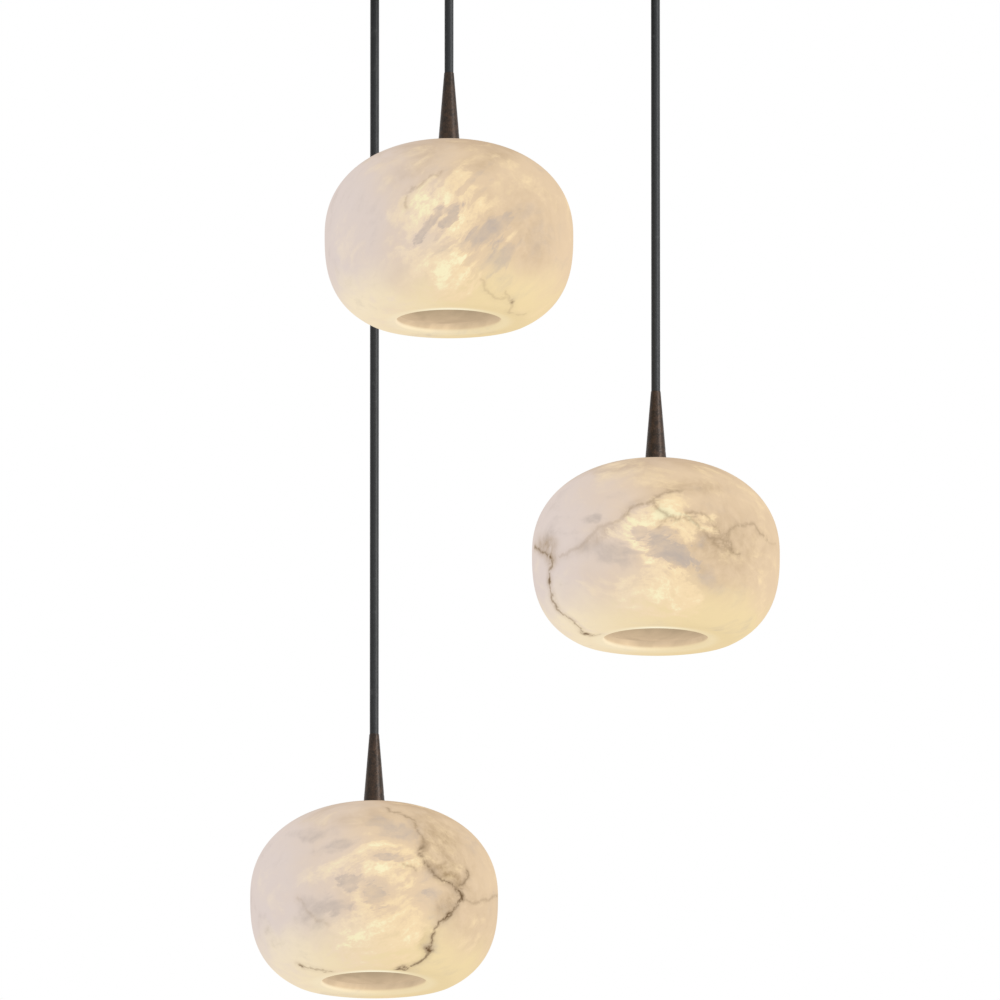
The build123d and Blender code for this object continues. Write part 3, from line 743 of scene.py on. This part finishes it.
def alabaster(name):
    """Translucent stone lit from inside: tinted, clouded, streaked and veined."""
    material, tree, surface = new_material(f"alabaster_{name}", Specular_IOR_Level=0.0)
    place = own_place(tree)
    seeded = vector_calc(tree, "ADD", place, STONE_SEED[name])
    drifting = vector_calc(tree, "ADD", seeded, wander(tree, seeded, waves=24.0, reach=0.014, detail=3.0))
    soft = noise(tree, drifting, waves=28.0, detail=4.0)
    outside = stone_outside(tree, name, place, seeded, drifting, soft)
    inside = stone_inside(tree, place, drifting, soft)
    color = mixed(tree, attribute(tree, "inside"), outside, inside)
    # Painted highlight on the lip of the mouth
    color = mixed(tree, attribute(tree, "lip"), color, LIP_HIGHLIGHT_COLOR)
    feed(tree, surface["Base Color"], scaled(tree, color, BODY_SHARE))
    feed(tree, surface["Emission Color"], color)
    surface["Emission Strength"].default_value = GLOW_SHARE
    feed(tree, surface["Roughness"], ramp(tree, soft, 0.2, 0.42))
    bump(tree, soft, STONE_RELIEF, surface["Normal"])
    return material


# Other materials

def rust_bronze():
    """Dark bronze with a mottled rust patina."""
    material, tree, surface = new_material("rust_bronze", Metallic=0.4, Specular_IOR_Level=0.3)
    place = own_place(tree)
    blotch = noise(tree, place, waves=260.0, detail=4.0, roughness=0.65)
    speck = noise(tree, place, waves=1100.0, detail=3.0, roughness=0.7)
    color = mixed(tree, rise(tree, blotch, 0.35, 0.68), srgb(40, 33, 28), srgb(64, 49, 38))
    color = mixed(tree, rise(tree, speck, 0.55, 0.72), color, srgb(84, 67, 55))
    color = mixed(tree, rise(tree, speck, 0.42, 0.3), color, srgb(26, 22, 20))
    feed(tree, surface["Base Color"], color)
    feed(tree, surface["Roughness"], ramp(tree, blotch, 0.25, 0.28))
    bump(tree, ramp(tree, speck, 0.6, blotch), BRONZE_RELIEF, surface["Normal"])
    return material


def cord_sheath():
    """Charcoal cord with a faint close braid and a few pale flecks."""
    material, tree, surface = new_material("cord_sheath", Specular_IOR_Level=0.16)
    place = own_place(tree)
    weave = noise(tree, place, waves=1800.0, detail=2.0, roughness=0.6)
    wear = noise(tree, place, waves=120.0)
    color = mixed(tree, rise(tree, weave, 0.3, 0.7), srgb(38, 39, 40), srgb(52, 54, 56))
    color = mixed(tree, times(tree, rise(tree, wear, 0.62, 0.75), 0.4), color, srgb(84, 86, 87))
    feed(tree, surface["Base Color"], color)
    feed(tree, surface["Roughness"], ramp(tree, weave, 0.2, 0.3))
    bump(tree, weave, BRAID_RELIEF, surface["Normal"])
    return material


def plain_finish(name, dark, light, waves, roughness, relief, stretch=(1, 1, 1), **values):
    """Material of two close colours, mixed by noise that may be drawn out along an axis."""
    material, tree, surface = new_material(name, **values)
    place = node(tree, "ShaderNodeMapping", {"Vector": own_place(tree), "Scale": stretch}).outputs[0]
    value = noise(tree, place, waves, detail=4.0, roughness=0.6)
    feed(tree, surface["Base Color"], mixed(tree, rise(tree, value, 0.3, 0.7), srgb(*dark), srgb(*light)))
    feed(tree, surface["Roughness"], ramp(tree, value, 0.2, roughness - 0.1))
    bump(tree, value, relief, surface["Normal"])
    return material


def bulb_glass():
    """Frosted glass of the lit bulb."""
    material, tree, surface = new_material("bulb_glass", Roughness=0.5)
    frost = noise(tree, own_place(tree), waves=300.0)
    color = mixed(tree, rise(tree, frost, 0.3, 0.7), srgb(250, 232, 194), srgb(254, 241, 212))
    feed(tree, surface["Base Color"], scaled(tree, color, BULB_BODY_SHARE))
    feed(tree, surface["Emission Color"], color)
    surface["Emission Strength"].default_value = BULB_GLOW_SHARE
    return material


def slot_materials():
    """Material of each slot in the record, apart from the stone."""
    made = {name: plain_finish(name, *finish, **METALS.get(name, {})) for name, finish in FINISHES.items()}
    made["rust_bronze"] = rust_bronze()
    made["cord_sheath"] = cord_sheath()
    made["bulb_glass"] = bulb_glass()
    return made


# Form of the shade

def spaced(points, step):
    """The same line through points about one step apart."""
    line = np.array(points, float)
    lengths = np.linalg.norm(np.diff(line, axis=0), axis=1)
    along = np.concatenate([[0.0], np.cumsum(lengths)])
    count = max(2, round(along[-1] / step) + 1)
    at = np.linspace(0.0, along[-1], count)
    return np.stack([np.interp(at, along, line[:, 0]), np.interp(at, along, line[:, 1])], axis=1)


def superellipse(radius, height, exponent, first, last, count=400):
    """Points of a quarter superellipse between two parameter angles, as (radius, height)."""
    angles = np.linspace(first, last, count)
    across = radius * np.cos(angles) ** (2 / exponent)
    up = height * np.sin(angles) ** (2 / exponent)
    return np.stack([across, up], axis=1)


def arc(middle, radius, first, last, count=24):
    """Points of a circle's arc between two angles in degrees, as (radius, level)."""
    angles = np.radians(np.linspace(first, last, count))
    return np.stack([middle[0] + radius * np.cos(angles), middle[1] + radius * np.sin(angles)], axis=1)


def rounded_foot(belly, foot):
    """Belly outline, ended by a round of FOOT_RADIUS that runs on to the flat foot."""
    way = np.gradient(belly, axis=0)
    way /= np.linalg.norm(way, axis=1)[:, None]
    inward = np.stack([way[:, 1], -way[:, 0]], axis=1)
    centres = belly + inward * FOOT_RADIUS
    meet = int(np.argmin(np.abs(centres[:, 1] - foot - FOOT_RADIUS)))
    middle = (centres[meet][0], foot + FOOT_RADIUS)
    start = math.degrees(math.atan2(belly[meet][1] - middle[1], belly[meet][0] - middle[0]))
    return np.concatenate([belly[:meet], arc(middle, FOOT_RADIUS, start, -90)])


def outside_outline(radius, depth):
    """Outer line of the shade from its crown hole down to the flat foot."""
    crown = CROWN_HEIGHT + CROWN_SWELL
    belly = depth - CROWN_HEIGHT + BELLY_SWELL
    crown_start = math.asin((CROWN_HEIGHT / crown) ** (CROWN_EXPONENT / 2))
    belly_end = math.asin(((depth - CROWN_HEIGHT) / belly) ** (BELLY_EXPONENT / 2))
    upper = superellipse(radius, crown, CROWN_EXPONENT, crown_start, 0.0)
    lower = superellipse(radius, belly, BELLY_EXPONENT, 0.0, belly_end)
    upper[:, 1] -= CROWN_HEIGHT
    lower[:, 1] = -lower[:, 1] - CROWN_HEIGHT
    return np.concatenate([[(CROWN_HOLE_RADIUS, 0.0)], upper, rounded_foot(lower[1:], -depth)])


def inside_outline(radius, depth):
    """Inner line of the shade from the top of its mouth up to the crown hole."""
    radius -= SHADE_WALL
    crown = CROWN_HEIGHT + CROWN_SWELL - CROWN_WALL
    belly_end = math.acos((MOUTH_RADIUS / radius) ** (BELLY_EXPONENT / 2))
    belly = (depth - CROWN_HEIGHT - FLOOR_WALL) / math.sin(belly_end) ** (2 / BELLY_EXPONENT)
    crown_end = math.acos((SEAT_RADIUS / radius) ** (CROWN_EXPONENT / 2))
    lower = superellipse(radius, belly, BELLY_EXPONENT, belly_end, 0.0)
    upper = superellipse(radius, crown, CROWN_EXPONENT, 0.0, crown_end)
    lower[:, 1] = -lower[:, 1] - CROWN_HEIGHT
    upper[:, 1] -= CROWN_HEIGHT
    seat = [(SEAT_RADIUS, -CROWN_WALL), (CROWN_HOLE_RADIUS, -CROWN_WALL)]
    return np.concatenate([lower, upper[1:], seat])


def shade_outline(radius, depth):
    """Closed outline of the shade's section, and of each point its painted lip highlight and whether inside.
    """
    outside = spaced(outside_outline(radius, depth), OUTSIDE_STEP)
    lip_start = (MOUTH_RADIUS + LIP_RADIUS + LIP_STEP, -depth)
    foot_ring = spaced([outside[-1], lip_start], OUTSIDE_STEP)[1:]
    lip = spaced(arc((MOUTH_RADIUS + LIP_RADIUS, -depth + LIP_RADIUS), LIP_RADIUS, -90, -180), LIP_STEP)
    wall = spaced([lip[-1], (MOUTH_RADIUS, -depth + FLOOR_WALL)], OUTSIDE_STEP)[1:]
    inside = spaced(inside_outline(radius, depth), INSIDE_STEP)[1:]
    points = np.concatenate([outside, foot_ring, lip, wall, inside])
    lip_end = len(outside) + len(foot_ring) + len(lip)
    # Band of the painted lip highlight, across the foot ring and the lip's round
    lip_highlight_band = np.clip(LIP_HIGHLIGHT_FADE * (1 - (points[:, 0] - MOUTH_RADIUS) / LIP_HIGHLIGHT_WIDTH), 0, 1)
    lip_highlight_band[:len(outside)] = 0.0
    lip_highlight_band[lip_end:] = 0.0
    is_inside = np.zeros(len(points))
    is_inside[lip_end:] = 1.0
    return points, lip_highlight_band, is_inside


def full_turn(sides):
    """Angles of one turn in equal steps."""
    return np.linspace(0.0, 2 * math.pi, sides, endpoint=False)


def smooth_mesh(name, points, faces):
    """Mesh with smooth faces and sharp edges."""
    mesh = bpy.data.meshes.new(name)
    mesh.from_pydata(points, [], faces)
    mesh.polygons.foreach_set("use_smooth", [True] * len(faces))
    mesh.set_sharp_from_angle(angle=SHARP_EDGE)
    return mesh


def turned_mesh(name, outline, sides):
    """Closed mesh turned about Z from a closed outline of (radius, level) points."""
    turns = full_turn(sides)
    radius, level = outline[:, 0], outline[:, 1]
    x = np.outer(np.sin(turns), radius)
    y = np.outer(np.cos(turns), radius)
    z = np.broadcast_to(level, x.shape)
    points = np.stack([x, y, z], axis=2).reshape(-1, 3)
    count = len(outline)
    faces = []
    for turn in range(sides):
        here, there = turn * count, (turn + 1) % sides * count
        for step in range(count):
            after = (step + 1) % count
            faces.append((here + step, there + step, there + after, here + after))
    return smooth_mesh(name, points.tolist(), faces), points


# Marks on the stone

def store(mesh, name, values):
    """Keeps one number or one vector for each point of the mesh."""
    is_vector = values.ndim == 2
    made = mesh.attributes.new(name, "FLOAT_VECTOR" if is_vector else "FLOAT", "POINT")
    made.data.foreach_set("vector" if is_vector else "value", values.astype(np.float32).ravel())


def patch_reach(pixels, mark):
    """Distance from the middle of an elongated patch: 1 on its edge."""
    middle_x, middle_y, half_length, half_width, tilt, _ = mark
    angle = math.radians(tilt)
    right, up = pixels[0] - middle_x, middle_y - pixels[1]
    along = (right * math.cos(angle) + up * math.sin(angle)) / half_length
    across = (up * math.cos(angle) - right * math.sin(angle)) / half_width
    return np.hypot(along, across)


def soft_patches(pixels, marks):
    """How strongly soft elongated patches cover each pixel."""
    clear = np.ones(len(pixels[0]))
    for mark in marks:
        clear *= 1 - mark[-1] * np.exp(-patch_reach(pixels, mark) ** 3)
    return 1 - clear


def edged_patches(pixels, marks):
    """Depth inside the nearest patch, 1 at its middle and 0 at its edge, and the patch's strength."""
    inside = np.full(len(pixels[0]), -PATCH_LIMIT)
    strength = np.zeros(len(pixels[0]))
    for mark in marks:
        depth = 1 - patch_reach(pixels, mark)
        deeper = depth > inside
        inside[deeper] = depth[deeper]
        strength[deeper] = mark[-1]
    return inside, strength


def within(pixels, outline):
    """Distance in pixels inside a closed outline of straight stretches, below 0 outside."""
    x, y = pixels
    nearest = np.full(len(x), GLOW_LIMIT)
    is_within = np.zeros(len(x), bool)
    for start, end in zip(outline, outline[1:] + outline[:1]):
        right, down = end[0] - start[0], end[1] - start[1]
        share = np.clip(((x - start[0]) * right + (y - start[1]) * down) / (right ** 2 + down ** 2), 0, 1)
        nearest = np.minimum(nearest, np.hypot(x - start[0] - share * right, y - start[1] - share * down))
        level_with = (start[1] > y) != (end[1] > y)
        is_within ^= level_with & (x < start[0] + (y - start[1]) * right / (down or 1))
    return np.where(is_within, nearest, -nearest)


def cracked(points, random):
    """Line of pixels made jagged by splitting each stretch and shifting its middle sideways."""
    line = [np.array(point, float) for point in points]
    for _ in range(CRACK_SPLITS):
        finer = [line[0]]
        for start, end in zip(line, line[1:]):
            sideways = np.array([start[1] - end[1], end[0] - start[0]])
            shift = random.uniform(-CRACK_ROUGHNESS, CRACK_ROUGHNESS)
            finer.append((start + end) / 2 + sideways * shift)
            finer.append(end)
        line = finer
    return line


def on_stone(tree, pixel):
    """Point of the stone behind one pixel of the photograph, or None."""
    return tree.ray_cast(camera_place(), photo_ray(pixel))[0]


def vein_lines(name, tree):
    """Short straight stretches of the veins on one shade: start and end in millimetres, depth and width."""
    random = np.random.default_rng(CRACK_SEED[name])
    lines = []
    for depth, width, points in VEINS[name]:
        places = [on_stone(tree, pixel) for pixel in cracked(points, random)]
        places = [np.array(place) * MM_PER_METRE for place in places if place is not None]
        lines += [(start, end, depth, width) for start, end in zip(places, places[1:])]
    return lines


def nearest_vein(points, lines):
    """For each point in millimetres, what the shader needs of the nearest vein."""
    offset = np.full((len(points), 3), FAR_AWAY_MM)
    depth = np.zeros(len(points))
    width = np.zeros(len(points))
    best = np.full(len(points), FAR_AWAY_MM)
    far = np.full(len(points), FAR_AWAY_MM)
    for start, end, line_depth, line_width in lines:
        way = end - start
        share = np.clip((points - start) @ way / (way @ way), 0, 1)
        away = start + share[:, None] * way - points
        distance = np.linalg.norm(away, axis=1)
        closer = distance - line_width < best
        best[closer] = distance[closer] - line_width
        far[closer] = distance[closer]
        offset[closer] = away[closer]
        depth[closer] = line_depth
        width[closer] = line_width
    return {"vein_offset": offset, "vein_depth": depth, "vein_width": width, "vein_far": far}


def facing_camera(mesh):
    """For each point, 1 where the stone faces the camera, fading to 0 past the silhouette."""
    normals = np.zeros(len(mesh.vertices) * 3, np.float32)
    mesh.vertices.foreach_get("normal", normals)
    facing = -normals.reshape(-1, 3) @ np.array(camera_axes()[2])
    return np.clip(1 + facing / FRONT_FADE, 0, 1)


def mark_stone(shade, points, name):
    """Stores the veins, clouds and bright patches that face the camera on the shade's mesh."""
    mesh = shade.data
    world = points + np.array(shade.location)
    front = facing_camera(mesh)
    pixels = photo_pixels(world)
    store(mesh, "front", front)
    store(mesh, "haze", soft_patches(pixels, HAZES[name]) * front)
    store(mesh, "glow", within(pixels, GLOWS[name]))
    store(mesh, "glow_strength", front)
    for field, marks in (("fleck", FLECKS), ("cloud", CLOUDS), ("zone", ZONES)):
        inside, strength = edged_patches(pixels, marks[name])
        store(mesh, field, inside)
        store(mesh, f"{field}_strength", strength * front)
    tree = BVHTree.FromPolygons(world.tolist(), [tuple(face.vertices) for face in mesh.polygons])
    for field, values in nearest_vein(world * MM_PER_METRE, vein_lines(name, tree)).items():
        store(mesh, field, values)


def mark_lip(mesh, lip_highlight_band):
    """Stores the painted highlight on the lip of the mouth, strongest where it is nearest to the camera."""
    to_front = np.clip(-np.cos(full_turn(SHADE_SIDES)), 0, 1) ** LIP_HIGHLIGHT_FOCUS
    highlight_round = LIP_HIGHLIGHT_LEAST + (1 - LIP_HIGHLIGHT_LEAST) * to_front
    store(mesh, "lip", np.outer(highlight_round, lip_highlight_band).ravel())


def add_shade(name):
    """Smooth turned stone shade in place of its node."""
    low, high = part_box(f"shade_{name}")
    outline, lip_highlight_band, is_inside = shade_outline((high.x - low.x) / 2, high.z - low.z)
    mesh, points = turned_mesh(f"stone_shade_{name}", outline, SHADE_SIDES)
    mark_lip(mesh, lip_highlight_band)
    store(mesh, "inside", np.tile(is_inside, SHADE_SIDES))
    shade = add_object(f"stone_shade_{name}", mesh)
    shade.location = ((low.x + high.x) / 2, (low.y + high.y) / 2, high.z)
    shade.visible_shadow = False
    mark_stone(shade, points, name)
    mesh.materials.append(alabaster(name))
    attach(shade, f"lamp_{name}")
    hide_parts(f"shade_{name}")


# Cord

def cord_line(name, top, foot):
    """Points along the smooth line of one cord, from inside its gland down into its cone."""
    route = [top, top - Vector((0, 0, CORD_LEAD)), foot + Vector((0, 0, CORD_LEAD)), foot]
    curve = bpy.data.curves.new(f"cord_line_{name}", "CURVE")
    curve.dimensions = "3D"
    curve.resolution_u = CORD_STEPS
    spline = curve.splines.new("NURBS")
    spline.points.add(len(route) - 1)
    for point, place in zip(spline.points, route):
        point.co = (*place, 1.0)
    spline.order_u = 3
    spline.use_endpoint_u = True
    holder = bpy.data.objects.new(f"cord_line_{name}", curve)
    line = bpy.data.meshes.new_from_object(holder)
    places = [vertex.co.copy() for vertex in line.vertices]
    bpy.data.meshes.remove(line)
    bpy.data.objects.remove(holder)
    return places


def cord_rings(places):
    """Middle and radius of each ring of the cord, whose top is rounded to turn freely in the gland."""
    radius = CORD_DIAMETER / 2
    rings = []
    for angle in np.radians(np.linspace(CORD_CAP_START, 90, CORD_CAP_RINGS)):
        drop = Vector((0, 0, radius * (1 - math.cos(angle))))
        rings.append((places[0] - drop, radius * math.sin(angle)))
    return rings + [(place, radius) for place in places if place.z < rings[-1][0].z]


def tube_mesh(name, rings):
    """Closed upright tube through rings, each a middle and a radius, from the top down."""
    points, faces = [], []
    for ring, (place, radius) in enumerate(rings):
        for angle in full_turn(CORD_SIDES):
            points.append(place + Vector((math.cos(angle), math.sin(angle), 0)) * radius)
        if ring:
            start, before = ring * CORD_SIDES, (ring - 1) * CORD_SIDES
            for side in range(CORD_SIDES):
                after = (side + 1) % CORD_SIDES
                faces.append((before + side, start + side, start + after, before + after))
    faces.append(tuple(range(CORD_SIDES)))
    faces.append(tuple(reversed(range(len(points) - CORD_SIDES, len(points)))))
    return smooth_mesh(name, points, faces)


def add_cord(name, material):
    """Round cord as one tube, from inside its gland down into its cone."""
    bend_low, bend_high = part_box(f"cord_bend_{name}")
    cord_low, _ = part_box(f"cord_{name}")
    middle = (bend_low + bend_high) / 2
    top = Vector((middle.x, middle.y, bend_high.z))
    foot = Vector((middle.x, middle.y, cord_low.z))
    places = cord_line(name, top, foot)
    mesh = tube_mesh(f"hanging_cord_{name}", cord_rings(places))
    mesh.materials.append(material)
    cord = add_object(f"hanging_cord_{name}", mesh)
    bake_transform(cord)
    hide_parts(f"cord_bend_{name}", f"cord_{name}")


# Stage and light

def add_floor():
    """Pale floor well below the lamp, seen from above only."""
    mesh = bpy.data.meshes.new("floor")
    turns = full_turn(FLOOR_SIDES)
    rim = [(FLOOR_RADIUS * math.cos(turn), FLOOR_RADIUS * math.sin(turn), FLOOR_LEVEL) for turn in turns]
    mesh.from_pydata(rim, [], [tuple(range(FLOOR_SIDES))])
    material, tree, surface = new_material("floor", Roughness=0.9)
    value = noise(tree, own_place(tree), waves=40.0)
    feed(tree, surface["Base Color"], mixed(tree, value, srgb(236, 235, 233), srgb(241, 240, 238)))
    clear = node(tree, "ShaderNodeBsdfTransparent", {})
    below = node(tree, "ShaderNodeNewGeometry", {}).outputs["Backfacing"]
    shader = tree.nodes["Principled BSDF"].outputs[0]
    both = node(tree, "ShaderNodeMixShader", {0: below, 1: shader, 2: clear.outputs[0]})
    tree.links.new(both.outputs[0], tree.nodes["Material Output"].inputs["Surface"])
    mesh.materials.append(material)
    floor = add_object("floor", mesh)


def add_world():
    """White surroundings for the camera and for reflections, and a soft level light from all sides."""
    world = bpy.data.worlds.new("studio")
    world.use_nodes = True
    tree = world.node_tree
    path = node(tree, "ShaderNodeLightPath", {})
    seen = calc(tree, "MAXIMUM", path.outputs["Is Camera Ray"], path.outputs["Is Glossy Ray"])
    seen = calc(tree, "MAXIMUM", seen, path.outputs["Is Transmission Ray"])
    strength = ramp(tree, seen, 1 - AMBIENT_LIGHT, AMBIENT_LIGHT)
    background = tree.nodes["Background"]
    background.inputs["Color"].default_value = (1, 1, 1, 1)
    tree.links.new(strength, background.inputs["Strength"])
    bpy.context.scene.world = world


def add_key():
    """Large soft light to the right of the camera."""
    data = bpy.data.lights.new("key", "AREA")
    data.shape = "RECTANGLE"
    data.size = KEY_WIDTH
    data.size_y = KEY_HEIGHT
    data.energy = KEY_POWER
    key = add_object("key", data)
    key.location = KEY_PLACE
    aim(key, CAMERA_TARGET - key.location)


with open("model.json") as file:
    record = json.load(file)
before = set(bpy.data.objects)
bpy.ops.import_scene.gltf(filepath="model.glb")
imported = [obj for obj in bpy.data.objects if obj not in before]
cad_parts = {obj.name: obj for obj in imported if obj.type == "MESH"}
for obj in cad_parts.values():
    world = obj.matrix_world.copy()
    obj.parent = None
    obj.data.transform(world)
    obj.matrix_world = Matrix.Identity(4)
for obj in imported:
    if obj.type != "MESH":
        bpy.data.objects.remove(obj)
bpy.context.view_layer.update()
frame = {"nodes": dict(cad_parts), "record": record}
bpy.context.scene.view_settings.view_transform = "Standard"

add_camera()
materials = slot_materials()
for subpart in frame["record"]["subparts"]:
    finish = materials.get(subpart["material_slot"])
    for slot in frame["nodes"][subpart["node"]].material_slots:
        slot.material = finish
for lamp in LAMPS:
    add_cord(lamp, materials["cord_sheath"])
    add_shade(lamp)
add_floor()
add_world()
add_key()
